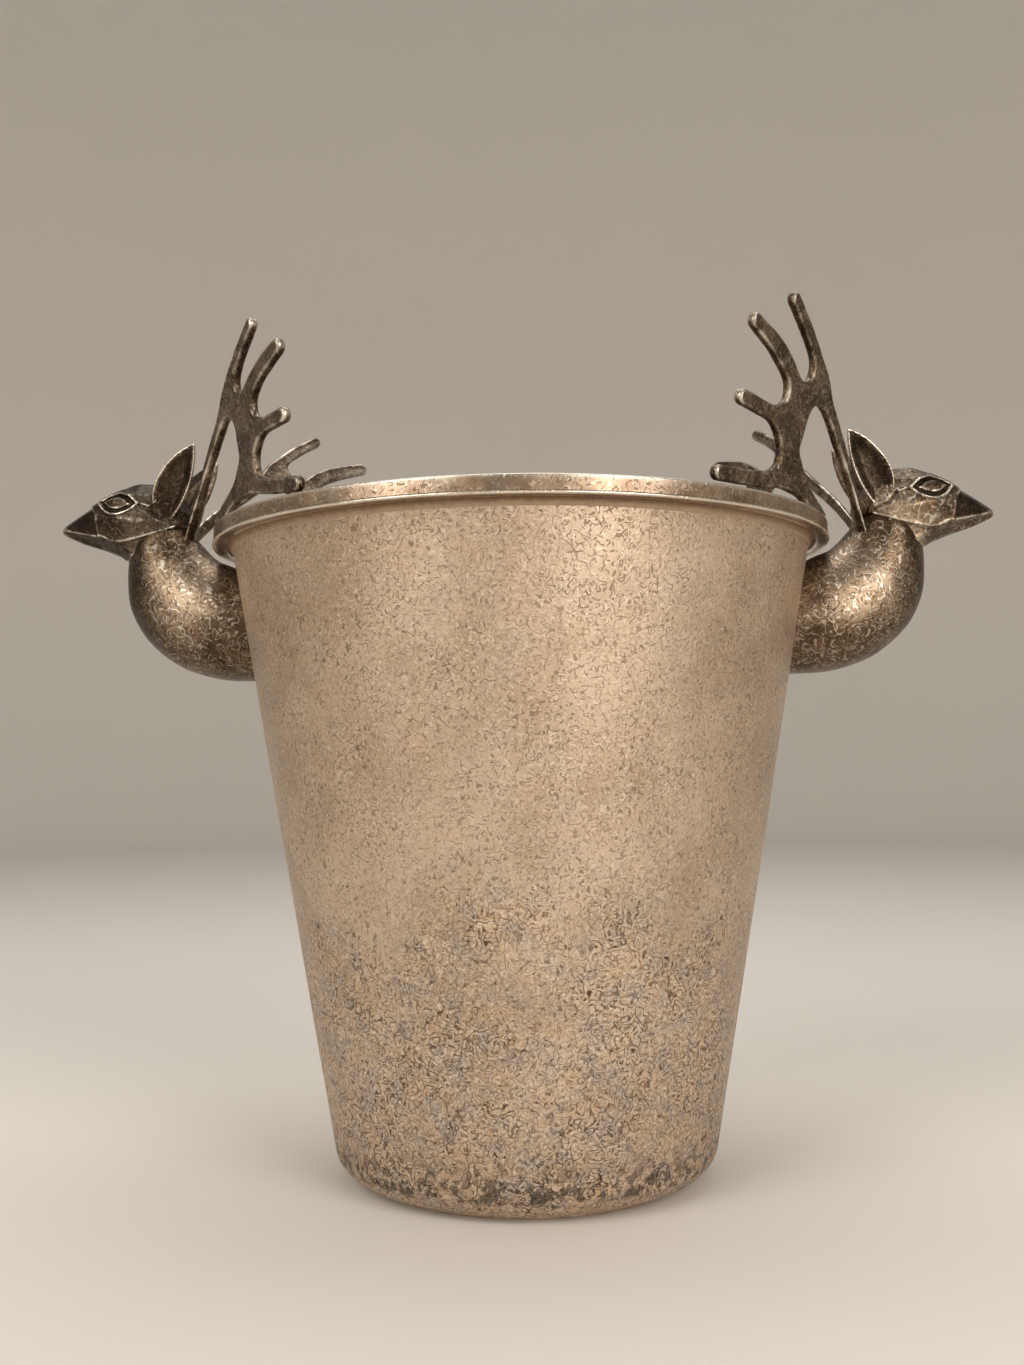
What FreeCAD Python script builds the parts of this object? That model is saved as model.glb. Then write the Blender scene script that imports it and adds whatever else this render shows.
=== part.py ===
"""Champagne bucket with a stag's-head handle on each side.

Millimetres, +Z up, +X towards the right-hand handle. The origin is the centre of the
underside, on the surface that the bucket stands on.
"""
import os
from math import atan2, cos, hypot, pi, radians, sin, tan

import FreeCAD
import Part
from FreeCAD import Vector as V

# ---- bucket ---------------------------------------------------------------------------
NECK_RADIUS = 103.0       # outer radius of the shell just under the rim
RIM_OVERHANG = 7.0        # how far the rim ring stands out from the shell
RIM_TOP = 226.0           # height of the rim's flat top
RIM_BAND = 6.0            # height of the rim's outer band
RIM_DRAFT = 0.55          # how much the band leans in from its lower to its upper edge
RIM_CHAMFER = 0.5         # worn corners of the band
BASE_RADIUS = 65.7        # where the shell's slope would meet the base
BASE_CORNER = 11.6        # radius of the rounded lower corner
WALL = 2.0                # sheet thickness of the shell
LIP_DEPTH = 3.0           # how far the shell's lip enters the rim ring
BASE_PLATE = 1.4          # thickness of the plate under the shell
BEAD = 2.2                # leg of the solder bead under the rim
SEAM = 0.1                # gap between curved faces that are soldered or bedded

# ---- stag neck and head, right-hand side, drawn in the plane y = 0 ----------------------
# Places on the handle are (out, up): outwards from the rim's edge, up from the rim's top.
# each station of the neck: underside out, up; upper side out, up; half width across
NECK_STATIONS = (
    (-11.0, -51.4, -13.0, -13.4, 20.0),
    (1.5, -50.4, -5.0, -9.6, 20.5),
    (15.5, -45.6, 0.5, -7.4, 19.6),
    (27.0, -36.1, 3.8, -5.0, 17.6),
    (33.2, -25.0, 7.0, -1.6, 15.2),
    (34.6, -14.0, 9.6, 1.6, 13.4),
    (34.4, -4.5, 11.0, 6.0, 12.6),
)
NECK_WALL = 3.0           # wall of the hollow neck casting
HOLLOW_STATIONS = 5       # stations of the neck that are hollow, from the bucket outwards
NECK_REACH = 14.0         # how far the neck's form is drawn on inside the bucket's wall
COLLAR_OUT, COLLAR_UP = 22.5, -2.4    # a point of the flat joint between neck and head
COLLAR_TILT = 22.0        # the joint falls towards the snout, degrees
# each station of the head: out, lowest up, highest up, half width at the cheeks
HEAD_STATIONS = (
    (10.4, -2.0, 10.5, 7.0),
    (16.0, -6.0, 17.6, 11.2),
    (22.0, -9.0, 20.6, 12.8),
    (29.5, -11.0, 21.2, 13.2),
    (36.8, -5.2, 19.4, 12.4),
    (43.6, -2.4, 16.6, 10.4),
    (52.2, 0.4, 11.2, 6.6),
    (58.8, 3.4, 6.9, 2.4),
    (60.0, 4.2, 5.8, 1.0),
)
DOWEL_RADIUS, DOWEL_LENGTH = 2.0, 13.0

# ---- ears -------------------------------------------------------------------------------
# outline of the leaf-shaped ear, seen from the side: (out, up) from its root round its tip
EAR_OUTLINE = ((18.5, 9.5), (14.0, 13.2), (9.6, 19.0), (6.6, 26.6), (5.8, 33.8),
               (11.6, 30.8), (17.4, 24.8), (21.0, 18.4), (21.4, 12.6))
EAR_THICKNESS = 2.8
EAR_ROOT_Y = 8.8          # inner face of the ear where it leaves the head
EAR_SPLAY = 13.0          # lean of the ear away from the head, degrees
SIDES = {"right": 1, "left": -1}
FACES = {"front": -1, "back": 1}

# ---- antlers ----------------------------------------------------------------------------
# A flat casting, drawn as chains of (across, up, half width) from its root at (0, 0).
ANTLER_THICKNESS = 3.4
BEAM = ((-9.0, -10.4, 2.6), (8.0, 9.6, 2.5), (25.4, 26.8, 2.4), (38.0, 39.6, 2.8),
        (43.4, 47.4, 2.3), (51.4, 55.0, 2.2), (61.2, 62.6, 2.1))
PALM = ((25.4, -3.2, 2.5), (37.8, 3.8, 2.7), (46.4, 8.6, 3.4), (51.2, 15.0, 4.4),
        (51.6, 22.4, 4.7), (49.4, 30.0, 3.9), (40.4, 38.6, 2.8))
TINES = (
    ((50.4, 30.0, 3.6), (56.6, 39.4, 2.9), (66.8, 46.2, 2.6), (80.2, 51.6, 2.4)),
    ((52.6, 22.8, 3.6), (63.6, 25.8, 2.6), (80.8, 28.0, 2.5)),
    ((47.6, 8.8, 3.0), (59.6, 5.4, 2.7), (74.4, 4.2, 2.6), (87.2, 3.6, 2.5)),
)
FORK_RADIUS = 1.5         # rounding of the gaps between the tines
# The four are cast, bent and seated by hand, so they differ a little. (side, face):
# root out, off the middle, up; sweep, lean, pitch in degrees; reach and rise factors
ANTLERS = {
    ("right", "front"): ((10.6, 9.9, 2.3), 49.4, 12.2, 0.0, 1.0, 1.0),
    ("left", "front"): ((6.4, 11.7, 9.1), 52.3, 7.2, -5.0, 0.94, 0.905),
    ("right", "back"): ((10.0, 11.0, 6.6), 52.5, 25.0, -4.6, 1.03, 0.925),
    ("left", "back"): ((13.0, 11.2, 4.2), 41.0, 28.5, -2.6, 1.05, 0.97),
}
ROOT_CLEARANCE = 3.0      # the antler's root passes the rim at least this far outside it
PIN_RADIUS = 0.9
PIN_FIT = 0.05
ROOT_PIN = ((1.0, 1.2), (-7.8, -9.0))   # ends of the root pin on the antler's own plane
FOOT_PIN_UP = 2.2         # length of the foot pin above the rim's top
FOOT_PIN_LAND = 0.4       # metal left between the foot pin and the shell's lip
FOOT_ACROSS = 28.2        # where the foot pin stands along the antler

# ---- fixing of each handle --------------------------------------------------------------
SCREW_RADIUS = 2.5
SCREW_FIT = 0.05          # shank in the tapped boss, thread left plain
SCREW_CLEARANCE = 0.25    # round the shank in the wall and in the backing plate
SCREW_DEPTH = 11.0        # reach of the shank into the boss
SCREW_HEAD_RADIUS, SCREW_HEAD_HEIGHT = 4.6, 2.6
SCREW_DROPS = (41.5, 21.5)    # below the rim's top
BOSS_RADIUS = 5.4
WASHER_RADIUS, WASHER_THICKNESS = 5.6, 0.9
PLATE_WIDTH, PLATE_HEIGHT, PLATE_THICKNESS = 26.0, 38.0, 2.6
PLATE_CORNER = 4.0
PLATE_BED = 0.3           # gap between the curved wall and the backing plate

SHELL_BOTTOM = BASE_PLATE
RIM_RADIUS = NECK_RADIUS + RIM_OVERHANG     # the rim's outer radius, at its lower edge
RIM_UNDER = RIM_TOP - RIM_BAND
FOOT_PIN_DOWN = RIM_BAND - LIP_DEPTH - FOOT_PIN_LAND    # depth of the foot pin in the ring
SCREW_HEIGHTS = [RIM_TOP - drop for drop in SCREW_DROPS]
SLOPE = (NECK_RADIUS - BASE_RADIUS) / (RIM_UNDER - SHELL_BOTTOM)
WALL_TILT = atan2(SLOPE, 1.0)
LEVEL = WALL / cos(WALL_TILT)           # wall thickness measured level
PLATE_FACE = -PLATE_THICKNESS - WALL - PLATE_BED    # the backing plate's inner face
UP = V(0, 0, 1)


def write(node, shape):
    """One STEP file for each node."""
    shape.exportStep("parts/%s.step" % node)


def handle_point(out, up):
    """Point of the right-hand handle's middle plane, measured from the rim's top edge."""
    return V(RIM_RADIUS + out, 0, RIM_TOP + up)


def outer_radius(z):
    """Outer radius of the shell's straight wall at a height."""
    return BASE_RADIUS + SLOPE * (z - SHELL_BOTTOM)


def turned(points):
    """Solid of revolution about Z from a closed outline of (radius, z) points."""
    corners = [V(r, 0, z) for r, z in points]
    face = Part.Face(Part.makePolygon(corners + corners[:1]))
    return face.revolve(V(0, 0, 0), UP, 360)


def cup(offset, floor, top):
    """Solid that fills the shell's outer form moved inwards by offset, from floor to top."""
    level = offset / cos(WALL_TILT)
    body = turned([(0, floor), (outer_radius(floor) - level, floor),
                   (outer_radius(top) - level, top), (0, top)])
    corner = [e for e in body.Edges if len(e.Vertexes) == 1 and abs(e.BoundBox.ZMax - floor) < 0.01]
    return body.makeFillet(BASE_CORNER - offset, corner)


def ring_disc(radius, low, high):
    """Plain upright cylinder between two heights."""
    return Part.makeCylinder(radius, high - low, V(0, 0, low))


def bucket_shell():
    """Spun cup with a short upright lip, bored for the handle screws."""
    lip_top = RIM_UNDER + LIP_DEPTH
    inner = NECK_RADIUS - LEVEL
    body = cup(0.0, SHELL_BOTTOM, RIM_UNDER).fuse(ring_disc(NECK_RADIUS, RIM_UNDER, lip_top))
    hollow = cup(WALL, SHELL_BOTTOM + WALL, RIM_UNDER).fuse(ring_disc(inner, RIM_UNDER, lip_top))
    return body.cut(hollow).removeSplitter()


def base_plate():
    """Flat plate soldered under the shell, which gives it a crisp standing edge."""
    flat = BASE_RADIUS - BASE_CORNER * tan((pi / 2 - WALL_TILT) / 2)
    plate = ring_disc(flat, 0, BASE_PLATE)
    rim = [e for e in plate.Edges if len(e.Vertexes) == 1 and e.BoundBox.ZMax < 0.01]
    return plate.makeChamfer(BASE_PLATE / 4, rim)


def rim_ring():
    """Turned ring with a rebate that the shell's lip stands in."""
    top_radius = RIM_RADIUS - RIM_DRAFT
    inner = NECK_RADIUS - LEVEL
    c = RIM_CHAMFER
    return turned([(NECK_RADIUS + SEAM, RIM_UNDER), (RIM_RADIUS - c, RIM_UNDER),
                   (RIM_RADIUS, RIM_UNDER + c), (top_radius, RIM_TOP - c), (top_radius - c, RIM_TOP),
                   (inner + c, RIM_TOP), (inner, RIM_TOP - c), (inner, RIM_UNDER + LIP_DEPTH),
                   (NECK_RADIUS + SEAM, RIM_UNDER + LIP_DEPTH)])


def rim_bead():
    """Solder bead, wiped flat, in the corner between the shell and the rim's underside."""
    low = RIM_UNDER - BEAD
    near = NECK_RADIUS + SEAM
    return turned([(near, RIM_UNDER), (near + BEAD, RIM_UNDER), (outer_radius(low) + SEAM, low)])


def oval(low, high, half_width):
    """Closed smooth section between two points of the plane y = 0."""
    centre, arm = (low + high) * 0.5, (high - low) * 0.5
    points = []
    for i in range(12):
        a = 2 * pi * i / 12
        points.append(centre + arm * cos(a) + V(0, half_width * sin(a), 0))
    curve = Part.BSplineCurve()
    curve.interpolate(Points=points, PeriodicFlag=True)
    return Part.Wire(curve.toShape())


def inset_oval(low, high, half_width, inset):
    """The same section moved inwards all round."""
    step = (high - low).normalize() * inset
    return oval(low + step, high - step, half_width - inset)


def neck_form(inset, stations):
    """The neck's swelling form, moved inwards by inset."""
    wires = []
    for low_out, low_up, high_out, high_up, half in stations:
        low, high = handle_point(low_out, low_up), handle_point(high_out, high_up)
        if not wires:
            inside = outer_radius(low.z) - NECK_REACH
            wires.append(inset_oval(V(inside, 0, low.z), V(inside, 0, high.z), half, inset))
        wires.append(inset_oval(low, high, half, inset))
    return Part.makeLoft(wires, True)


def above_collar():
    """Large block that fills everything on the head's side of the neck joint."""
    block = Part.makeBox(120, 120, 80, V(-60, -60, 0))
    block.rotate(V(0, 0, 0), V(0, 1, 0), COLLAR_TILT)
    block.translate(handle_point(COLLAR_OUT, COLLAR_UP))
    return block


def collar_axis():
    """Normal of the neck joint, pointing into the head."""
    return V(sin(radians(COLLAR_TILT)), 0, cos(radians(COLLAR_TILT)))


def bucket_envelope():
    """Everything inside the bucket's outer faces, with the bedding gap around it."""
    wall = turned([(0, 0), (outer_radius(0) + SEAM, 0), (NECK_RADIUS + SEAM, RIM_UNDER),
                   (0, RIM_UNDER)])
    return wall.fuse(ring_disc(RIM_RADIUS + SEAM, RIM_UNDER - SEAM, RIM_TOP + SEAM))


def wall_normal():
    """Outward normal of the bucket's wall on the right-hand side."""
    return V(cos(WALL_TILT), 0, -sin(WALL_TILT))


def wall_point(z, depth):
    """Point on the wall's normal at height z: 0 is the outer face, inwards is negative."""
    return V(outer_radius(z), 0, z) + wall_normal() * depth


def drilled(z, radius, start, length):
    """Cylinder along the wall's normal at height z, from start outwards."""
    return Part.makeCylinder(radius, length, wall_point(z, start), wall_normal())


def neck():
    """Hollow neck casting with two tapped bosses for the handle screws."""
    body = neck_form(0.0, NECK_STATIONS).cut(above_collar())
    hollow = neck_form(NECK_WALL, NECK_STATIONS[:HOLLOW_STATIONS])
    bosses = [drilled(z, BOSS_RADIUS, -3, 60) for z in SCREW_HEIGHTS]
    hollow = hollow.cut(bosses[0].fuse(bosses[1]))
    body = body.cut(hollow).cut(bucket_envelope())
    for z in SCREW_HEIGHTS:
        body = body.cut(drilled(z, SCREW_RADIUS + SCREW_FIT, -3, SCREW_DEPTH + 4))
    return body.cut(dowel(SCREW_FIT))


def head():
    """Faceted head casting, flat where it stands on the neck."""
    wires = []
    for out, low, high, half in HEAD_STATIONS:
        tall = high - low
        side = ((0.34 * half, high), (0.86 * half, high - 0.16 * tall),
                (half, high - 0.46 * tall), (0.72 * half, low + 0.14 * tall), (0.3 * half, low))
        near = [handle_point(out, up) + V(0, y, 0) for y, up in side]
        far = [handle_point(out, up) - V(0, y, 0) for y, up in reversed(side)]
        wires.append(Part.makePolygon(near + far + near[:1]))
    body = Part.makeLoft(wires, True, True)
    return body.common(above_collar()).cut(dowel(SCREW_FIT))


def dowel(grow=0.0):
    """Dowel that pins the head to the neck."""
    axis = collar_axis()
    start = handle_point(COLLAR_OUT, COLLAR_UP) - axis * (DOWEL_LENGTH / 2 + grow)
    return Part.makeCylinder(DOWEL_RADIUS + grow, DOWEL_LENGTH + 2 * grow, start, axis)


def ear(face):
    """Leaf-shaped ear on one face of the head: -1 is the front."""
    points = [handle_point(*p) for p in EAR_OUTLINE]
    tip = EAR_OUTLINE.index(min(EAR_OUTLINE, key=lambda p: p[0]))
    edges = []
    for run in (points[:tip + 1], points[tip:] + points[:1]):
        curve = Part.BSplineCurve()
        curve.interpolate(run)
        edges.append(curve.toShape())
    leaf = Part.Face(Part.Wire(edges)).extrude(V(0, face * EAR_THICKNESS, 0))
    leaf.translate(V(0, face * EAR_ROOT_Y, 0))
    leaf.rotate(points[0] + V(0, face * EAR_ROOT_Y, 0), V(1, 0, 0), -face * EAR_SPLAY)
    return leaf


def link(a, b):
    """Flat tapered link between two round ends, in the plane z = 0."""
    (ax, ay, ar), (bx, by, br) = a, b
    length = hypot(bx - ax, by - ay)
    heading = atan2(by - ay, bx - ax)
    spread = pi / 2 + atan2(br - ar, length)
    left, right = heading + spread, heading - spread

    def at(x, y, r, angle):
        return V(x + r * cos(angle), y + r * sin(angle), 0)

    a_left, a_right = at(ax, ay, ar, left), at(ax, ay, ar, right)
    b_left, b_right = at(bx, by, br, left), at(bx, by, br, right)
    edges = [Part.Arc(a_left, at(ax, ay, ar, heading + pi), a_right).toShape(),
             Part.makeLine(a_right, b_right),
             Part.Arc(b_right, at(bx, by, br, heading), b_left).toShape(),
             Part.makeLine(b_left, a_left)]
    return Part.Face(Part.Wire(edges))


def is_crotch(plate, edge):
    """True for an edge through the plate with metal on most sides: a fork between tines."""
    if abs(edge.BoundBox.ZLength - ANTLER_THICKNESS) > 0.001:
        return False
    ring = [2 * pi * i / 36 for i in range(36)]
    around = [edge.CenterOfMass + V(0.4 * cos(a), 0.4 * sin(a), 0) for a in ring]
    return sum(plate.isInside(p, 0.001, False) for p in around) > 24


def flat_antler(reach, rise):
    """The antler casting lying flat: x across, y up, z through its thickness."""
    links = []
    for chain in (BEAM, PALM) + TINES:
        drawn = [(across * reach, up * rise, half) for across, up, half in chain]
        links += [link(a, b) for a, b in zip(drawn, drawn[1:])]
    outline = links[0].multiFuse(links[1:]).removeSplitter().Faces[0]
    plate = outline.extrude(V(0, 0, ANTLER_THICKNESS))
    plate.translate(V(0, 0, -ANTLER_THICKNESS / 2))
    return plate.makeFillet(FORK_RADIUS, [e for e in plate.Edges if is_crotch(plate, e)])


def antler_frame(side, face, root, sweep, lean, pitch):
    """Placement of the flat casting: its x, y and z become across, up and through."""
    sweep, lean, pitch = radians(sweep), radians(lean), radians(pitch)
    level = V(-side * cos(sweep), face * sin(sweep), 0)
    outward = V(side * sin(sweep), face * cos(sweep), 0)
    rise = UP * cos(lean) + outward * sin(lean)
    across = level * cos(pitch) + rise * sin(pitch)
    up = rise * cos(pitch) - level * sin(pitch)
    through = across.cross(up)
    out, off_middle, above = root
    place = handle_point(out, above)
    return FreeCAD.Matrix(across.x, up.x, through.x, side * place.x,
                          across.y, up.y, through.y, face * off_middle,
                          across.z, up.z, through.z, place.z,
                          0, 0, 0, 1)


def on_antler(frame, across, up):
    """Point of the antler's middle plane in the bucket's own frame."""
    return frame.multiply(V(across, up, 0))


def root_pin(frame, grow=0.0):
    """Pin that holds an antler's root in the neck."""
    start, end = (on_antler(frame, *p) for p in ROOT_PIN)
    return Part.makeCylinder(PIN_RADIUS + grow, (end - start).Length, start, end - start)


def foot_pin(frame, across, grow=0.0):
    """Upright pin that holds an antler's foot on the rim."""
    here, above = on_antler(frame, across, 0), on_antler(frame, across, 1)
    rise = (above - here)
    mid = here + rise * ((RIM_TOP + FOOT_PIN_UP / 2 - here.z) / rise.z)
    start = V(mid.x, mid.y, RIM_TOP - FOOT_PIN_DOWN - grow)
    return Part.makeCylinder(PIN_RADIUS + grow, FOOT_PIN_UP + FOOT_PIN_DOWN + 2 * grow, start, UP)


def backing_plate():
    """Plate inside the bucket that spreads the pull of the screws over the thin wall."""
    mid = sum(SCREW_HEIGHTS) / len(SCREW_HEIGHTS)
    block = Part.makeBox(PLATE_THICKNESS + WALL, PLATE_WIDTH, PLATE_HEIGHT,
                         V(PLATE_FACE, -PLATE_WIDTH / 2, -PLATE_HEIGHT / 2))
    block.rotate(V(0, 0, 0), V(0, 1, 0), WALL_TILT * 180 / pi)
    block.translate(wall_point(mid, 0))
    upright = [e for e in block.Edges if abs(e.Length - PLATE_THICKNESS - WALL) < 0.01]
    block = block.makeFillet(PLATE_CORNER, upright)
    block = block.common(cup(WALL + PLATE_BED, SHELL_BOTTOM + WALL, RIM_UNDER))
    for z in SCREW_HEIGHTS:
        block = block.cut(drilled(z, SCREW_RADIUS + SCREW_CLEARANCE, -20, 25))
    return block


def screw(z):
    """Pan-head screw, put in from inside the bucket."""
    seat = PLATE_FACE - WASHER_THICKNESS
    cap = drilled(z, SCREW_HEAD_RADIUS, seat - SCREW_HEAD_HEIGHT, SCREW_HEAD_HEIGHT)
    crown = [e for e in cap.Edges if len(e.Vertexes) == 1
             and abs(e.CenterOfMass.distanceToPoint(wall_point(z, seat - SCREW_HEAD_HEIGHT))) < 0.01]
    cap = cap.makeFillet(SCREW_HEAD_HEIGHT / 2, crown)
    return cap.fuse(drilled(z, SCREW_RADIUS, seat, SCREW_DEPTH - seat)).removeSplitter()


def washer(z):
    """Sealing washer under the screw's head."""
    start = PLATE_FACE - WASHER_THICKNESS
    disc = drilled(z, WASHER_RADIUS, start, WASHER_THICKNESS)
    return disc.cut(drilled(z, SCREW_RADIUS + SCREW_FIT, start - 1, WASHER_THICKNESS + 2))


def mirrored(shape):
    """The same piece on the left-hand side."""
    return shape.mirror(V(0, 0, 0), V(1, 0, 0))


def on_side(shape, side):
    """A piece drawn for the right-hand side, on the named side."""
    return shape if side == "right" else mirrored(shape)


def both_sides(shapes):
    """One group of separate solids: these pieces and their left-hand copies."""
    return Part.makeCompound(list(shapes) + [mirrored(s) for s in shapes])


def antler(casting, frame, neighbours):
    """One antler in its place, trimmed to the rim's top and to what it is seated on."""
    casting.Placement = FreeCAD.Placement(frame)
    casting = casting.cut(ring_disc(RIM_RADIUS + ROOT_CLEARANCE, 0, RIM_TOP))
    for shape in neighbours:
        casting = casting.cut(shape)
    return max(casting.Solids, key=lambda s: s.Volume)


os.makedirs("parts", exist_ok=True)

shell = bucket_shell()
for height in SCREW_HEIGHTS:
    hole = drilled(height, SCREW_RADIUS + SCREW_CLEARANCE, -WALL * 3, WALL * 5)
    shell = shell.cut(hole).cut(mirrored(hole))
write("bucket_shell", shell)
write("base_plate", base_plate())
write("rim_bead", rim_bead())

ring = rim_ring()
right_neck, right_head = neck(), head()
root_pins, foot_pins = [], []
for side, side_sign in SIDES.items():
    side_neck, side_head = on_side(right_neck, side), on_side(right_head, side)
    for face, face_sign in FACES.items():
        root, sweep, lean, pitch, reach, rise = ANTLERS[side, face]
        frame = antler_frame(side_sign, face_sign, root, sweep, lean, pitch)
        foot = FOOT_ACROSS * reach
        root_hole, foot_hole = root_pin(frame, PIN_FIT), foot_pin(frame, foot, PIN_FIT)
        side_ear = on_side(ear(face_sign).cut(right_head), side)
        neighbours = (side_neck, side_head, side_ear, root_hole, foot_hole)
        write("%s_%s_ear" % (side, face), side_ear)
        write("%s_%s_antler" % (side, face), antler(flat_antler(reach, rise), frame, neighbours))
        side_neck, side_head = side_neck.cut(root_hole), side_head.cut(root_hole)
        ring = ring.cut(foot_hole)
        root_pins.append(root_pin(frame))
        foot_pins.append(foot_pin(frame, foot))
    write("%s_neck" % side, side_neck)
    write("%s_head" % side, side_head)
    write("%s_backing_plate" % side, on_side(backing_plate(), side))
write("rim_ring", ring)
write("antler_root_pins", Part.makeCompound(root_pins))
write("antler_foot_pins", Part.makeCompound(foot_pins))
write("head_dowels", both_sides([dowel()]))
write("handle_screws", both_sides([screw(height) for height in SCREW_HEIGHTS]))
write("sealing_washers", both_sides([washer(height) for height in SCREW_HEIGHTS]))
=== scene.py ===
from math import atan, cos, pi, radians, sin

import bmesh
import bpy
import numpy as np
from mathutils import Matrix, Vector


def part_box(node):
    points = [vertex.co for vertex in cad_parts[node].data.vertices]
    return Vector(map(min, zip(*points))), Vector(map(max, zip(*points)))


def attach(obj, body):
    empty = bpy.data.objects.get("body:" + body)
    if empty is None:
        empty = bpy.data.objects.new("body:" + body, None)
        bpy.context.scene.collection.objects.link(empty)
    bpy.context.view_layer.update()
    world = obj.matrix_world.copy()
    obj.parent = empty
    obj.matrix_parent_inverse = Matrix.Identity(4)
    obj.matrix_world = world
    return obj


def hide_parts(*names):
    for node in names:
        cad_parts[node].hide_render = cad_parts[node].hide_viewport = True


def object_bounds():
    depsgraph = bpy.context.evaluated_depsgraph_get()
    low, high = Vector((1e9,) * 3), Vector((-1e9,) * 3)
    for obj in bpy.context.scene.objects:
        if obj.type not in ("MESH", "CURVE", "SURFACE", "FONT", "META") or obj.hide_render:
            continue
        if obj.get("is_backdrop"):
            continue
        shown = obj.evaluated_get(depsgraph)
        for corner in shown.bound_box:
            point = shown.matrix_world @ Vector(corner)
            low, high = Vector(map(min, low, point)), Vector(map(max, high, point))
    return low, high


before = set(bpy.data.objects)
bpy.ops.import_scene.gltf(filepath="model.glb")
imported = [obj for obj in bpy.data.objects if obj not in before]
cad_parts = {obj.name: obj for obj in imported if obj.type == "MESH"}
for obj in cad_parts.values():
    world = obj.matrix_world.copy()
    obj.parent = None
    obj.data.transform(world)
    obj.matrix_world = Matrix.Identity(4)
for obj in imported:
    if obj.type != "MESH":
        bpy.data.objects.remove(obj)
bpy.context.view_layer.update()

import openvdb
from mathutils import Matrix, Vector, noise

# Champagne bucket with a stag's-head handle on each side, finished in aged nickel silver.

# ---- bucket shell --------------------------------------------------------
# A tapering cup, spun from 2 mm nickel-silver sheet over a chuck, then acid-etched and left
# to age: a satin beige-grey skin with fine worm-like etching, small pits and ochre bloom,
# coarser towards the foot. Its floor curls up into the wall in one rounded corner.
MM = 0.001
ASIDE = (0.31, 0.12, 0.23)    # metres to the place where a pattern is read a second time
shell_low, shell_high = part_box("bucket_shell")
rim_low, rim_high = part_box("rim_ring")
NECK_RADIUS = shell_high.x
SHELL_FLOOR = shell_low.z
FOOT_RADIUS = 65.7 * MM       # where the wall's slope would meet the floor
CORNER = 11.6 * MM            # outer radius of the corner
WALL = 2.0 * MM
SLOPE = (NECK_RADIUS - FOOT_RADIUS) / (rim_low.z - SHELL_FLOOR)
TILT = atan(SLOPE)
LEVEL_WALL = WALL / cos(TILT)


class Wire:
    """Output of a node, which takes part in sums like a number."""

    def __init__(self, graph, socket):
        self.graph, self.socket = graph, socket

    def out(self, name):
        return Wire(self.graph, self.socket.node.outputs[name])

    def __add__(self, other):
        return self.graph.sum("ADD", self, other)

    def __sub__(self, other):
        return self.graph.sum("SUBTRACT", self, other)

    def __rsub__(self, other):
        return self.graph.sum("SUBTRACT", other, self)

    def __mul__(self, other):
        return self.graph.sum("MULTIPLY", self, other)

    __radd__, __rmul__ = __add__, __mul__


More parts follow.
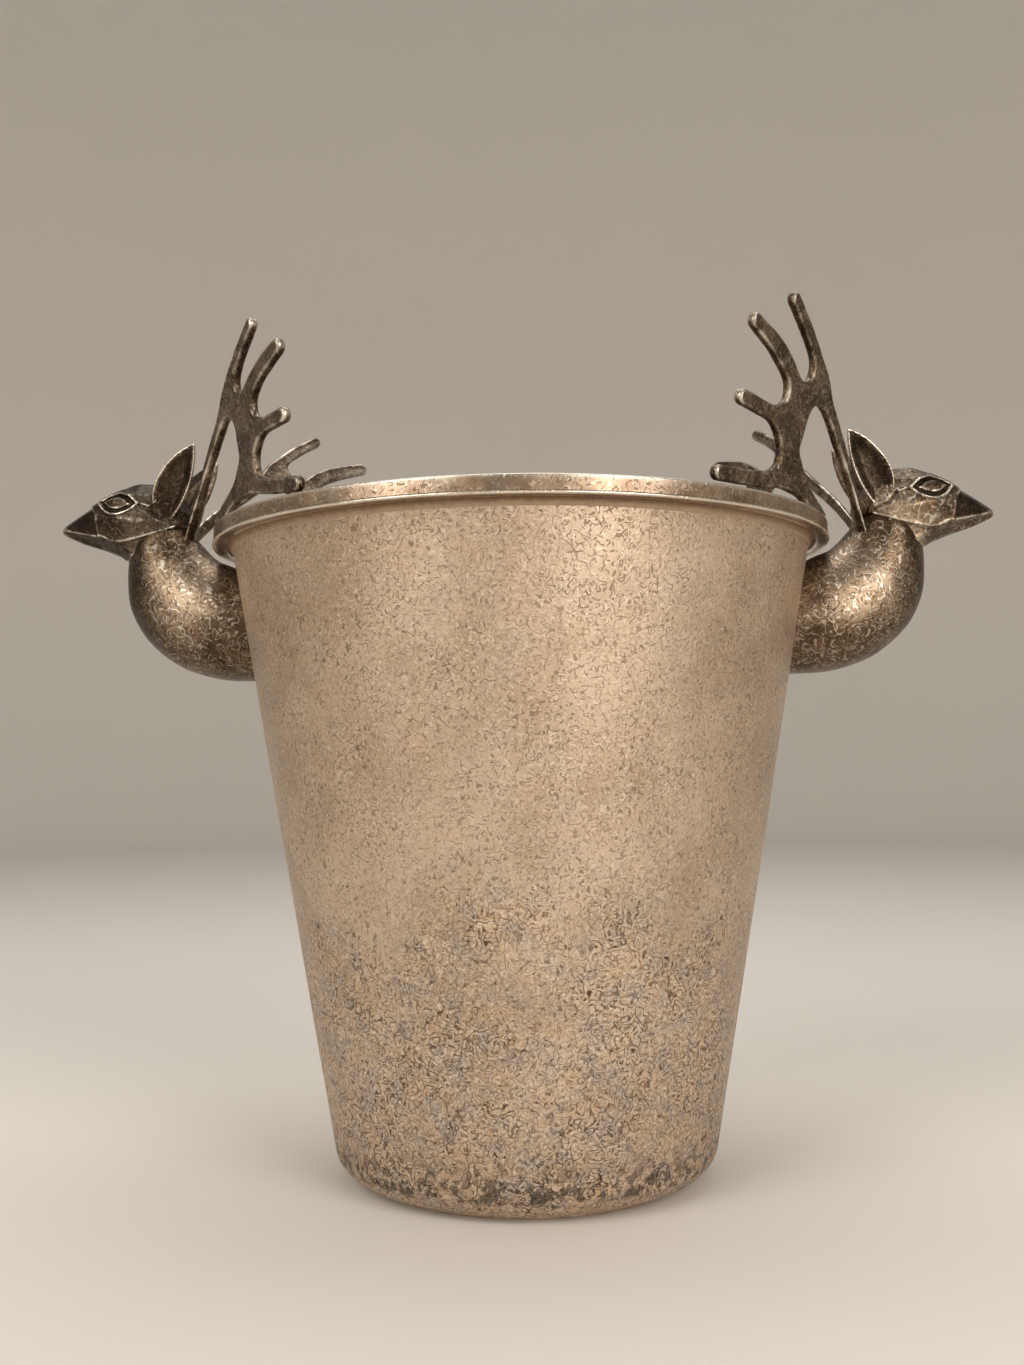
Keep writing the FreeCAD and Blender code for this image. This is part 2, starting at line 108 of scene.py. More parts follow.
class Graph:
    """A node tree of a material or of Geometry Nodes, built one node at a time."""

    def __init__(self, tree):
        self.tree = tree

    def add(self, kind, settings=None, inputs=None, out=0):
        """Output of a new node, after its settings and then its inputs are set."""
        node = self.tree.nodes.new(kind)
        for name, value in (settings or {}).items():
            setattr(node, name, value)
        for key, value in (inputs or {}).items():
            if isinstance(value, Wire):
                self.tree.links.new(value.socket, node.inputs[key])
            else:
                node.inputs[key].default_value = value
        return Wire(self, node.outputs[out])

    def marked(self, name):
        """A number that the mesh carries."""
        return self.add("ShaderNodeAttribute", {"attribute_name": name}, out="Fac")

    def height(self, place):
        return self.add("ShaderNodeSeparateXYZ", {}, {0: place}, "Z")

    def sum(self, operation, first, second):
        return self.add("ShaderNodeMath", {"operation": operation}, {0: first, 1: second})

    def step(self, value, low, high):
        """0 below low, 1 above high, smooth between."""
        return self.add("ShaderNodeMapRange", {"interpolation_type": "SMOOTHSTEP"},
                        {"Value": value, "From Min": low, "From Max": high})

    def noise(self, place, size, detail=3.0, rough=0.55, twist=0.0):
        """Cloudy pattern about 0.5, whose lumps are size metres across."""
        return self.add("ShaderNodeTexNoise", {"noise_dimensions": "3D"},
                        {"Vector": place, "Scale": 1 / size, "Detail": detail,
                         "Roughness": rough, "Distortion": twist})

    def lines(self, place, size, turns, width):
        """Level lines of a smooth pattern at many heights, which curl into cells and rings."""
        level = self.noise(place, size, 0.0, 0.5, 0.5)
        wave = self.magnitude(self.sum("SINE", level * turns, 0.0))
        return 1 - self.step(wave, width * 0.45, width)

    def worms(self, place, size, width, share):
        """Short curved strokes: level lines, broken up by a second pattern."""
        broken = self.step(self.noise(place, size * 1.1, 0.0), 1 - share, 1.08 - share)
        return self.lines(place, size * 1.7, 12.5, width) * broken

    def magnitude(self, value):
        return self.sum("ABSOLUTE", value, 0.0)

    def vector(self, operation, first, second):
        key = "Scale" if operation == "SCALE" else 1
        return self.add("ShaderNodeVectorMath", {"operation": operation}, {0: first, key: second})

    def warped(self, place, size, amount):
        """Places pushed about by a cloud, so that a regular pattern turns irregular."""
        given = {"Vector": place, "Scale": 1 / size, "Detail": 2.0}
        push = self.add("ShaderNodeTexNoise", {}, given, "Color")
        centred = self.vector("SUBTRACT", push, (0.5, 0.5, 0.5))
        return self.vector("ADD", place, self.vector("SCALE", centred, amount))

    def cells(self, place, size, share):
        """Distances from the middles of an uneven grid's cells, and a share of the cells."""
        cell = self.add("ShaderNodeTexVoronoi", {}, {"Vector": place, "Scale": 1 / size})
        red = self.add("ShaderNodeSeparateColor", {}, {0: cell.out("Color")})
        return cell, self.step(red, 1 - share, 1.02 - share)

    def spots(self, place, size, radius, share):
        """Round dots in a share of the cells."""
        away, chosen = self.cells(place, size, share)
        return (1 - self.step(away, radius * 0.55, radius)) * chosen

    def rings(self, place, size, radius, width, share):
        """Thin rings, as left by drops that dried."""
        away, chosen = self.cells(place, size, share)
        return (1 - self.step(self.magnitude(away - radius), width * 0.4, width)) * chosen

    def blend(self, first, second, share):
        """Colour between two colours."""
        return self.add("ShaderNodeMix", {"data_type": "RGBA"}, {0: share, 6: first, 7: second}, 2)

    def bumped(self, height, distance, normal=None):
        """Surface normal with a relief of that depth in metres."""
        links = {"Height": height, "Distance": distance, "Strength": 1.0}
        if normal:
            links["Normal"] = normal
        return self.add("ShaderNodeBump", {}, links)


def finish(name, build, metallic, fixed=None):
    """A material: build(graph, place) gives its colour, roughness and normal."""
    material = bpy.data.materials.new(name)
    material.use_nodes = True
    material.node_tree.nodes.clear()
    graph = Graph(material.node_tree)
    place = graph.add("ShaderNodeTexCoord", out="Object")
    colour, roughness, normal = build(graph, place)
    sockets = {"Base Color": colour, "Roughness": roughness, "Normal": normal, "Metallic": metallic}
    shader = graph.add("ShaderNodeBsdfPrincipled", {}, {**sockets, **(fixed or {})})
    end = graph.tree.nodes.new("ShaderNodeOutputMaterial")
    graph.tree.links.new(shader.socket, end.inputs["Surface"])
    return material


def etched_skin(graph, place):
    """The outside of the cup: satin and even above, coarse and blotched below."""
    height = graph.height(place)
    cloud = graph.noise(place, 42 * MM, 3.0)
    low_down = 1 - graph.step(height + (cloud - 0.5) * 0.13, 62 * MM, 112 * MM)
    soft = graph.noise(place, 30 * MM, 4.0, 0.6)
    grain = graph.noise(place, 0.9 * MM, 1.0, 0.6)
    colour = graph.blend(SATIN, SATIN_LIGHT, graph.step(soft + (grain - 0.5) * 0.9, 0.3, 0.72))
    bloom = graph.step(graph.noise(place, 24 * MM, 6.0, 0.72) + (grain - 0.5) * 0.6, 0.52, 0.78)
    colour = graph.blend(colour, OCHRE, bloom * 0.3)
    blotch = graph.noise(graph.warped(place, 4 * MM, 3 * MM), 7 * MM, 1.0)
    colour = graph.blend(colour, BLUE_GREY, graph.step(blotch, 0.53, 0.62) * (0.06 + 0.4 * low_down))
    colour = graph.blend(colour, TAN, (1 - graph.step(blotch, 0.36, 0.46)) * (0.1 + 0.4 * low_down))
    patch = graph.step(graph.noise(place, 17 * MM, 3.0, 0.65), 0.42, 0.62)
    aside = graph.vector("ADD", place, ASIDE)
    fine = graph.worms(place, 1.5 * MM, 0.5, 0.6)
    glints = graph.worms(aside, 1.5 * MM, 0.5, 0.55)
    coarse = graph.lines(place, 3.4 * MM, 15.0, 0.6) * low_down
    sheen = graph.lines(aside, 3.3 * MM, 15.0, 0.55) * low_down
    colour = graph.blend(colour, GLINT, glints * (0.3 + 0.15 * patch) + sheen * 0.5)
    strokes = fine * (0.4 + 0.2 * patch) + coarse * (0.42 + 0.3 * patch)
    colour = graph.blend(colour, UMBER, strokes)
    crowd = graph.step(graph.noise(place, 10 * MM, 3.0, 0.6), 0.42, 0.66)
    pits = graph.spots(place, 1.6 * MM, 0.27, 0.36) * (0.2 + 0.34 * crowd + 0.45 * crowd * low_down)
    rot = graph.step(graph.noise(place, 3.4 * MM, 3.0, 0.7), 0.47, 0.55)
    skirt = graph.step(height, 6.0 * MM, 8.5 * MM) * (1 - graph.step(height, 10 * MM, 24 * MM))
    dark = graph.sum("MAXIMUM", pits, rot * skirt * 0.7)
    colour = graph.blend(colour, PITCH, dark)
    rough = 0.42 + (soft - 0.5) * 0.14 + strokes * 0.16 + low_down * 0.08
    relief = (1 - strokes) * 0.8 + (1 - dark) * 0.6 + grain * 0.25 + glints * 0.2
    return colour, rough, graph.bumped(relief, 0.15 * MM)


SATIN = (0.43, 0.315, 0.215, 1)
SATIN_LIGHT = (0.58, 0.45, 0.33, 1)
GLINT = (0.80, 0.67, 0.53, 1)
OCHRE = (0.36, 0.215, 0.105, 1)
BLUE_GREY = (0.335, 0.305, 0.275, 1)
TAN = (0.60, 0.42, 0.25, 1)
UMBER = (0.11, 0.068, 0.038, 1)
PITCH = (0.020, 0.014, 0.009, 1)
cup_skin = finish("etched_nickel", etched_skin, 0.74)


def node_group(name, sockets):
    """Empty Geometry Nodes group with its graph and the identifiers of its inputs."""
    tree = bpy.data.node_groups.new(name, "GeometryNodeTree")
    keys = {}
    for label, kind in sockets.items():
        socket = tree.interface.new_socket(label, in_out="INPUT", socket_type="NodeSocket" + kind)
        keys[label] = socket.identifier
    tree.interface.new_socket("Geometry", in_out="OUTPUT", socket_type="NodeSocketGeometry")
    return tree, keys, Graph(tree)


def close_group(graph, form, metal):
    """Ends a group: real geometry, in one metal."""
    form = graph.add("GeometryNodeRealizeInstances", {}, {"Geometry": form})
    form = graph.add("GeometryNodeSetMaterial", {}, {"Geometry": form, "Material": metal})
    end = graph.tree.nodes.new("NodeGroupOutput")
    graph.tree.links.new(form.socket, end.inputs["Geometry"])


def lathe_tree():
    """Geometry Nodes that turn an outline, drawn in the plane y = 0, about the upright axis."""
    tree, keys, graph = node_group("lathe", {"Geometry": "Geometry", "Steps": "Int", "Metal": "Material"})
    given = graph.add("NodeGroupInput", out="Geometry")
    rows = graph.add("GeometryNodeAttributeDomainSize", {"component": "CURVE"}, {0: given})
    grid = graph.add("GeometryNodeMeshGrid", {}, {"Size X": 1.0, "Size Y": 1.0, "Vertices Y": rows,
                                                  "Vertices X": given.out("Steps") + 1})
    across = graph.add("ShaderNodeSeparateXYZ", {}, {0: grid.out("UV Map")})
    row = graph.sum("ROUND", across.out("Y") * (rows - 1), 0.0)
    drawn = graph.add("GeometryNodeSampleIndex", {"data_type": "FLOAT_VECTOR", "domain": "POINT"},
                      {"Geometry": given, "Index": row, "Value": graph.add("GeometryNodeInputPosition")})
    point = graph.add("ShaderNodeSeparateXYZ", {}, {0: drawn})
    angle = across.out("X") * (2 * pi)
    turn = {name: graph.sum(name, angle, 0.0) for name in ("COSINE", "SINE")}
    ring = graph.add("ShaderNodeCombineXYZ", {}, {"X": point.out("X") * turn["COSINE"],
                                                  "Y": point.out("X") * turn["SINE"], "Z": point.out("Z")})
    form = graph.add("GeometryNodeSetPosition", {}, {"Geometry": grid, "Position": ring})
    form = graph.add("GeometryNodeMergeByDistance", {}, {"Geometry": form, "Distance": 1e-6})
    close_group(graph, form, given.out("Metal"))
    return tree, keys


LATHE, LATHE_KEYS = lathe_tree()
TURNED_EDGES = 35             # degrees past which an edge of a turned piece stays sharp


def plain_mesh(source, name):
    """What the modifiers of source make, as an object of its own; source is removed."""
    evaluated = source.evaluated_get(bpy.context.evaluated_depsgraph_get())
    mesh = bpy.data.meshes.new_from_object(evaluated)
    bpy.data.objects.remove(source)
    made = bpy.data.objects.new(name, mesh)
    bpy.context.scene.collection.objects.link(made)
    return made


def turned(name, outline, metal, steps=288):
    """Closed turned piece from an outline of (radius, height) points."""
    curve = bpy.data.curves.new(name, "CURVE")
    curve.dimensions = "3D"
    spline = curve.splines.new("POLY")
    points = list(outline) + [outline[0]]
    spline.points.add(len(points) - 1)
    for slot, (radius, height) in zip(spline.points, points):
        slot.co = (radius, 0, height, 1)
    drawing = bpy.data.objects.new(name + "_outline", curve)
    bpy.context.scene.collection.objects.link(drawing)
    lathe = drawing.modifiers.new("lathe", "NODES")
    lathe.node_group = LATHE
    lathe[LATHE_KEYS["Steps"]] = steps
    lathe[LATHE_KEYS["Metal"]] = metal
    piece = plain_mesh(drawing, name)
    tidy(piece.data, TURNED_EDGES)
    return piece


def tidy(mesh, sharp_angle):
    """Merges loose corners, turns faces outwards, shades smooth but for sharp edges (degrees)."""
    form = bmesh.new()
    form.from_mesh(mesh)
    bmesh.ops.remove_doubles(form, verts=form.verts, dist=1e-7)
    bmesh.ops.dissolve_degenerate(form, edges=form.edges, dist=1e-8)
    bmesh.ops.recalc_face_normals(form, faces=form.faces)
    form.to_mesh(mesh)
    form.free()
    mesh.shade_smooth()
    mesh.set_sharp_from_angle(angle=radians(sharp_angle))


def arc(centre, radius, start, end, steps):
    """Points of an arc in the outline's plane; angles in degrees."""
    turns = np.radians(np.linspace(start, end, steps + 1))
    return [(centre[0] + radius * cos(a), centre[1] + radius * sin(a)) for a in turns]


def straight(start, end, steps):
    """Points along a line, without its first one."""
    return [tuple(np.array(start) + (np.array(end) - np.array(start)) * i / steps)
            for i in range(1, steps + 1)]


def wall_radius(height):
    """Outer radius of the cup's wall at a height."""
    return FOOT_RADIUS + SLOPE * (height - SHELL_FLOOR)


def shell_outline():
    """Outside of the cup from the middle of its floor up to the lip, and back down inside."""
    curl = (FOOT_RADIUS + SLOPE * CORNER - CORNER / cos(TILT), SHELL_FLOOR + CORNER)
    tilt = TILT * 180 / pi
    outside = [(0, SHELL_FLOOR)] + arc(curl, CORNER, -90, -tilt, 14)
    neck = (NECK_RADIUS, rim_low.z)
    outside += straight(outside[-1], neck, 60) + straight(neck, (NECK_RADIUS, shell_high.z), 2)
    inside = [(NECK_RADIUS - LEVEL_WALL, shell_high.z), (NECK_RADIUS - LEVEL_WALL, rim_low.z)]
    curled = arc(curl, CORNER - WALL, -tilt, -90, 12)
    inside += straight(inside[-1], curled[0], 40) + curled[1:] + [(0, SHELL_FLOOR + WALL)]
    return outside + inside


def uneven(mesh, depth, size, seed):
    """Moves a mesh in and out a little, as hand work and wear leave it."""
    shift = Vector((seed, 2.3 * seed, 5.1 * seed))
    moves = [v.normal * noise.noise(v.co / size + shift) * depth for v in mesh.vertices]
    for vertex, move in zip(mesh.vertices, moves):
        vertex.co += move


cup = turned("spun_cup", shell_outline(), cup_skin)
uneven(cup.data, 0.09 * MM, 26 * MM, 1.0)
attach(cup, "root")
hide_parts("bucket_shell")

# ---- base plate ----------------------------------------------------------
# A flat nickel-silver disc, soldered under the cup. It is the only part that touches the
# table, so its edge is rubbed bright and its face is scuffed.
flat_radius, _, plate_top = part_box("base_plate")[1]
EDGE = 0.35 * MM


def scuffed_skin(graph, place):
    """Scuffed metal, crossed by fine scratches."""
    cloud = graph.noise(place, 9 * MM, 4.0, 0.65)
    scratch = graph.worms(place, 2.2 * MM, 0.02, 0.6)
    stain = graph.step(graph.noise(place, 5 * MM, 4.0, 0.7), 0.55, 0.72)
    colour = graph.blend(SATIN, SATIN_LIGHT, graph.step(cloud, 0.38, 0.66))
    colour = graph.blend(colour, UMBER, stain * 0.6)
    rough = 0.34 + cloud * 0.16 + scratch * 0.15
    return colour, rough, graph.bumped(1 - scratch, 0.03 * MM)


scuffed = finish("scuffed_nickel", scuffed_skin, 0.9)
disc_points = [(0, 0), (flat_radius - EDGE, 0), (flat_radius, EDGE), (flat_radius, plate_top), (0, plate_top)]
disc = turned("base_disc", disc_points, scuffed, 192)
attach(disc, "root")
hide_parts("base_plate")

# ---- rim ring and solder bead --------------------------------------------
# A turned ring of heavier metal sits over the cup's lip. Its edges are bright, partly polished by hands and
# partly a painted highlight along the top edge; its band is scratched and smudged brown. A thin line of
# solder closes the joint underneath.
rim_top, rim_under, rim_radius = rim_high.z, rim_low.z, rim_high.x
BAND_DRAFT = 0.55 * MM
BAND_ROUND = 0.75 * MM
RIDGE = 0.5 * MM
rim_inner = NECK_RADIUS - LEVEL_WALL


def handled_skin(graph, place):
    """Metal that is handled: smoother, brown in its pits and scratches, bare on its edges, with a painted
    highlight along its top edge.
    """
    bulge = graph.marked("bulge")
    height = graph.height(place)
    # painted highlight: the top of the ring is made bright where light falls on it
    lip = graph.step(height, rim_top - 1.0 * MM, rim_top - 0.55 * MM)
    wear_and_highlight = graph.sum("MAXIMUM", graph.step(bulge, 0.1, 0.5), lip * 0.9)
    cloud = graph.noise(place, 13 * MM, 4.0, 0.6)
    grain = graph.noise(place, 1.1 * MM, 1.0, 0.6)
    colour = graph.blend(HANDLED, SATIN, graph.step(cloud + (grain - 0.5) * 0.5, 0.38, 0.66))
    smudge = graph.step(graph.noise(place, 9 * MM, 4.0, 0.7) + (grain - 0.5) * 0.4, 0.46, 0.64)
    colour = graph.blend(colour, BROWN, smudge * 0.55)
    strokes = graph.worms(place, 1.6 * MM, 0.4, 0.56)
    glints = graph.worms(graph.vector("ADD", place, ASIDE), 1.6 * MM, 0.4, 0.52)
    pits = graph.spots(place, 1.8 * MM, 0.22, 0.3)
    colour = graph.blend(colour, GLINT, glints * 0.4)
    colour = graph.blend(colour, UMBER, strokes * 0.55)
    colour = graph.blend(colour, PITCH, pits * 0.75)
    # bright edges: wear on the edges plus the painted highlight along the top
    colour = graph.blend(colour, BRIGHT, wear_and_highlight * 0.85)
    rough = 0.32 + (cloud - 0.5) * 0.2 + strokes * 0.12 - wear_and_highlight * 0.12
    relief = (1 - strokes) * 0.6 + (1 - pits) * 0.5 + grain * 0.2
    return colour, rough, graph.bumped(relief, 0.07 * MM)


HANDLED = (0.27, 0.20, 0.14, 1)
BROWN = (0.18, 0.102, 0.05, 1)
BRIGHT = (0.86, 0.78, 0.66, 1)
handled = finish("handled_nickel", handled_skin, 0.9)


def read(rows, name, width=3):
    """Numbers of a mesh's rows, such as the places of its corners."""
    values = np.zeros(len(rows) * width)
    rows.foreach_get(name, values)
    return values.reshape(-1, width)


def mark(mesh, name, values):
    """A number for each corner of a mesh."""
    mesh.attributes.new(name, "FLOAT", "POINT").data.foreach_set("value", values.astype(np.float32))


def mark_bulge(mesh, passes, unit):
    """Attribute bulge: 1 where the surface stands unit metres proud of its smoothed self."""
    place, normal = read(mesh.vertices, "co"), read(mesh.vertices, "normal")
    ends = read(mesh.edges, "vertices", 2).astype(int)
    one, two = np.r_[ends[:, 0], ends[:, 1]], np.r_[ends[:, 1], ends[:, 0]]
    count = len(place)
    shared = np.maximum(np.bincount(one, minlength=count), 1)
    smooth = place.copy()
    for _ in range(passes):
        around = np.stack([np.bincount(one, smooth[two, k], count) for k in range(3)], 1)
        smooth = 0.4 * smooth + 0.6 * around / shared[:, None]
    mark(mesh, "bulge", ((place - smooth) * normal).sum(1) / unit)


def ring_outline():
    """Section of the rim ring, with rolled edges and a small ridge round its lower edge."""
    low_edge = (rim_radius - RIDGE - 0.06 * MM, rim_under + RIDGE)
    top_edge = (rim_radius - BAND_DRAFT - BAND_ROUND, rim_top - BAND_ROUND)
    inner_edge = (rim_inner + BAND_ROUND, rim_top - BAND_ROUND)
    points = [(NECK_RADIUS, rim_under)] + straight((NECK_RADIUS, rim_under), (low_edge[0], rim_under), 4)
    points += arc(low_edge, RIDGE, -90, 60, 8)
    waist = rim_radius - BAND_DRAFT * 0.9
    points += [(waist, rim_under + 2.2 * RIDGE)]
    points += straight(points[-1], (top_edge[0] + BAND_ROUND, top_edge[1]), 5)
    points += arc(top_edge, BAND_ROUND, 8, 90, 7)
    points += straight(points[-1], (inner_edge[0], rim_top), 6)
    points += arc(inner_edge, BAND_ROUND, 98, 180, 7)
    points += straight(points[-1], (rim_inner, shell_high.z), 2) + [(NECK_RADIUS, shell_high.z)]
    return points


ring = turned("rim_band", ring_outline(), handled, 384)
uneven(ring.data, 0.06 * MM, 11 * MM, 4.0)
mark_bulge(ring.data, 4, 0.12 * MM)
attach(ring, "root")
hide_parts("rim_ring")

bead_low, bead_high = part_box("rim_bead")


def solder_skin(graph, place):
    """Wiped solder: dull, brown in the corner as a painted shadow under the rim's ridge, and grey like the
    cup at its foot.
    """
    height = graph.height(place)
    cloud = graph.noise(place, 2.5 * MM, 3.0, 0.7)
    # painted shadow: brown at the top of the bead, under the rim's ridge
    shadow_under_rim = graph.step(height + (cloud - 0.5) * 2 * MM, bead_low.z, bead_high.z)
    colour = graph.blend(SATIN, BROWN, shadow_under_rim * 0.8)
    return colour, 0.5 + cloud * 0.2, graph.bumped(cloud, 0.05 * MM)


solder = finish("wiped_solder", solder_skin, 0.8)
leg = bead_high.z - bead_low.z
bead_points = arc((bead_high.x, bead_low.z), leg, 90, 180, 7)[:-1]
bead_points += [(wall_radius(bead_low.z) + 0.05 * MM, bead_low.z), (NECK_RADIUS, bead_high.z)]
bead = turned("solder_bead", bead_points, solder)
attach(bead, "root")
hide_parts("rim_bead")

# ---- necks ---------------------------------------------------------------
# Hollow castings that swell like a bird's breast from the cup's wall and rise to the head.
# They carry a painted highlight on the front near the top, where light falls, and painted shade underneath
# and on the far side.

# Stations of the neck: underside out, up; upper side out, up; half width, all in mm, from
# the rim's top outer edge.
NECK_STATIONS = (
    (-11.0, -51.4, -13.0, -13.4, 20.0),
    (1.5, -50.4, -5.0, -9.6, 20.5),
    (15.5, -45.6, 0.5, -7.4, 19.6),
    (27.0, -36.1, 3.8, -5.0, 17.6),
    (33.2, -25.0, 7.0, -1.6, 15.2),
    (34.6, -14.0, 9.6, 1.6, 13.4),
    (34.0, -4.5, 11.6, 6.0, 12.0),
    (32.0, 0.5, 14.0, 8.0, 9.4),
    (28.5, 3.0, 18.0, 7.5, 5.0),
)
NECK_INSIDE = 12.0        # mm that the form is drawn on inside the cup's wall
SIDES = {"right": 1, "left": -1}
FACES = {"front": -1, "back": 1}


def cast_skin(dark, light, scratch, tarnish):
    """Aged casting: tarnish in hollows, metal bared on bulges, scratches over both; marks on the mesh add a
    painted highlight, dark patina on heads and ears, and painted shade on the necks.
    """
    def build(graph, place):
        bulge = graph.marked("bulge")
        # painted highlight: a bright zone marked on the mesh where light falls
        painted_highlight = graph.marked("painted_highlight")
        # mark on the mesh: patina on heads and ears, painted shade on the necks
        patina_and_shade = graph.marked("patina_and_shade")
        cloud = graph.noise(place, 8 * MM, 3.0, 0.6)
        grain = graph.noise(place, 1.0 * MM, 1.0, 0.6)
        hollow = 1 - graph.step(bulge, -0.7, -0.08)
        wear_and_highlight = graph.step(bulge + (cloud - 0.5) * 1.5, 0.3, 1.15)
        # inside the painted highlight more metal shows bare
        bare = graph.step(cloud * 0.6 + grain * 0.4 + painted_highlight * 0.45, 0.4 + tarnish, 0.9 + tarnish)
        colour = graph.blend(dark, light, bare)
        stain = graph.step(graph.noise(place, 6 * MM, 3.0, 0.7), 0.5, 0.66)
        colour = graph.blend(colour, BROWN, stain * 0.5)
        mottle = graph.lines(place, 5 * MM, 24.0, 0.5) * graph.step(cloud, 0.42, 0.56)
        colour = graph.blend(colour, light, mottle * 0.5)
        aside = graph.vector("ADD", place, ASIDE)
        strokes = graph.worms(place, 1.9 * MM, 0.42, 0.62)
        nicks = graph.worms(aside, 1.9 * MM, 0.45, 0.62)
        colour = graph.blend(colour, SOOT_AND_SHADE, nicks * 0.5)
        # scratches are painted brighter inside the painted highlight
        colour = graph.blend(colour, BRIGHT, strokes * (painted_highlight + 0.45) * scratch)
        specks = graph.spots(place, 2.3 * MM, 0.18, 0.25)
        colour = graph.blend(colour, PITCH, specks * 0.7)
        # near-black in hollows as patina, and where the mesh is marked: patina on heads and ears, painted
        # shade on the necks
        colour = graph.blend(colour, SOOT_AND_SHADE, graph.sum("MAXIMUM", hollow * 0.85, patina_and_shade * 0.85))
        colour = graph.blend(colour, BRIGHT, wear_and_highlight * 0.85)
        rough = 0.4 + (cloud - 0.5) * 0.16 + hollow * 0.12 - wear_and_highlight * 0.16 - patina_and_shade * 0.06
        relief = (1 - nicks) * 0.5 + strokes * 0.35 + (1 - specks) * 0.4 + grain * 0.2
        return colour, rough, graph.bumped(relief, 0.09 * MM)
    return build


# near-black for dark nicks, patina and painted shade
SOOT_AND_SHADE = (0.015, 0.0095, 0.005, 1)
NECK_DARK = (0.085, 0.051, 0.027, 1)
NECK_LIGHT = (0.38, 0.28, 0.185, 1)
neck_metal = finish("rubbed_casting", cast_skin(NECK_DARK, NECK_LIGHT, 0.55, 0.04), 0.92)


def smooth_rows(rows, steps):
    """Rows of numbers joined by smooth curves: a Catmull-Rom spline through each column."""
    rows = np.array(rows, float)
    ends = np.vstack([2 * rows[0] - rows[1], rows, 2 * rows[-1] - rows[-2]])
    out = []
    for i in range(len(rows) - 1):
        a, b, c, d = ends[i:i + 4]
        for t in np.arange(steps) / steps:
            out.append(0.5 * (2 * b + (c - a) * t + (2 * a - 5 * b + 4 * c - d) * t * t
                              + (3 * b - a - 3 * c + d) * t ** 3))
    return np.array(out + [rows[-1]])


def mesh_piece(name, points, faces, metal):
    """Object from points in metres and lists of corners."""
    mesh = bpy.data.meshes.new(name)
    mesh.from_pydata([tuple(p) for p in points], [], [tuple(f) for f in faces])
    mesh.materials.append(metal)
    piece = bpy.data.objects.new(name, mesh)
    bpy.context.scene.collection.objects.link(piece)
    return piece


def neck_points(columns, rows):
    """Grid of the neck's skin, right-hand side, from the cup's wall to inside the head."""
    first = NECK_STATIONS[0]
    inside = (wall_radius(rim_top + first[1] * MM) - rim_radius) / MM - NECK_INSIDE
    stations = [(inside, first[1], inside, first[3], first[4])] + list(NECK_STATIONS)
    drawn = smooth_rows(stations, 24)
    low = drawn[:, 0:2]
    high = drawn[:, 2:4]
    grid = np.zeros((columns, rows, 3))
    for i in range(columns):
        a = 2 * pi * i / columns
        across = (low + high) / 2 + (high - low) / 2 * cos(a)
        line = np.stack([rim_radius / MM + across[:, 0], drawn[:, 4] * sin(a),
                         rim_top / MM + across[:, 1]], 1) * MM
        beyond = np.hypot(line[:, 0], line[:, 1]) - wall_radius(line[:, 2])
        start = np.argmax(beyond > 0)
        share = beyond[start - 1] / (beyond[start - 1] - beyond[start])
        kept = np.linspace(start - 1 + share, len(line) - 1, rows)
        grid[i] = np.stack([np.interp(kept, np.arange(len(line)), line[:, k]) for k in range(3)], 1)
    return grid


def mark_painted_highlight(mesh, centre, reach):
    """Attribute for a painted highlight: 1 at centre, fading to 0 at reach metres, a bright zone painted
    where light falls.
    """
    away = np.linalg.norm(read(mesh.vertices, "co") - centre, axis=1) / reach
    mark(mesh, "painted_highlight", np.clip(1 - away, 0, 1))


def plateau(signed, width):
    """0 where signed is well below 0, 1 well above, smooth between."""
    t = np.clip(signed / width + 0.5, 0, 1)
    return t * t * (3 - 2 * t)


def places_of(mesh, sign):
    """Out, across and up of each corner of a mesh, in mm from the rim's edge and top."""
    x, y, z = read(mesh.vertices, "co").T / MM
    return sign * x - rim_radius / MM, y, z - rim_top / MM


# painted shade on each neck: how dark it is painted underneath and on its far side
NECK_PAINTED_SHADE = {"left": (0.15, 0.8), "right": (0.0, 0.42)}      # shares underneath and far out
COLUMNS, ROWS = 128, 72       # faces round a neck and corners along it
for side, sign in SIDES.items():
    grid = neck_points(COLUMNS, ROWS) * (sign, 1, 1)
    strips = [(i * ROWS, (i + 1) % COLUMNS * ROWS) for i in range(COLUMNS)]
    corners = [(a + j, b + j, b + j + 1, a + j + 1) for a, b in strips for j in range(ROWS - 1)]
    caps = [[a for a, _ in strips], [a + ROWS - 1 for a, _ in strips]]
    neck = mesh_piece(side + "_neck_casting", grid.reshape(-1, 3), corners + caps, neck_metal)
    tidy(neck.data, 50)
    uneven(neck.data, 0.1 * MM, 8 * MM, 3.0 + sign)
    # painted highlight on the front of the neck, near the top, where light falls
    mark_painted_highlight(neck.data, (sign * (rim_radius + 8 * MM), -19 * MM, rim_top - 20 * MM), 25 * MM)
    out, _, up = places_of(neck.data, sign)
    under, far = NECK_PAINTED_SHADE[side]
    # painted shade: darker underneath and on the far side, the left neck more than the right
    neck_shade = under * plateau(-28 - up, 24) + far * plateau(out - 22, 18) * plateau(6 - up, 18)
    mark(neck.data, "patina_and_shade", neck_shade)
    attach(neck, "root")
    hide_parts(side + "_neck")

# ---- heads ---------------------------------------------------------------
# Solid castings in flat facets, chased by hand: a raised double line round the almond eye, a
# crown plate behind the brow, a ridge along the jaw and a flat dark plane at the snout.

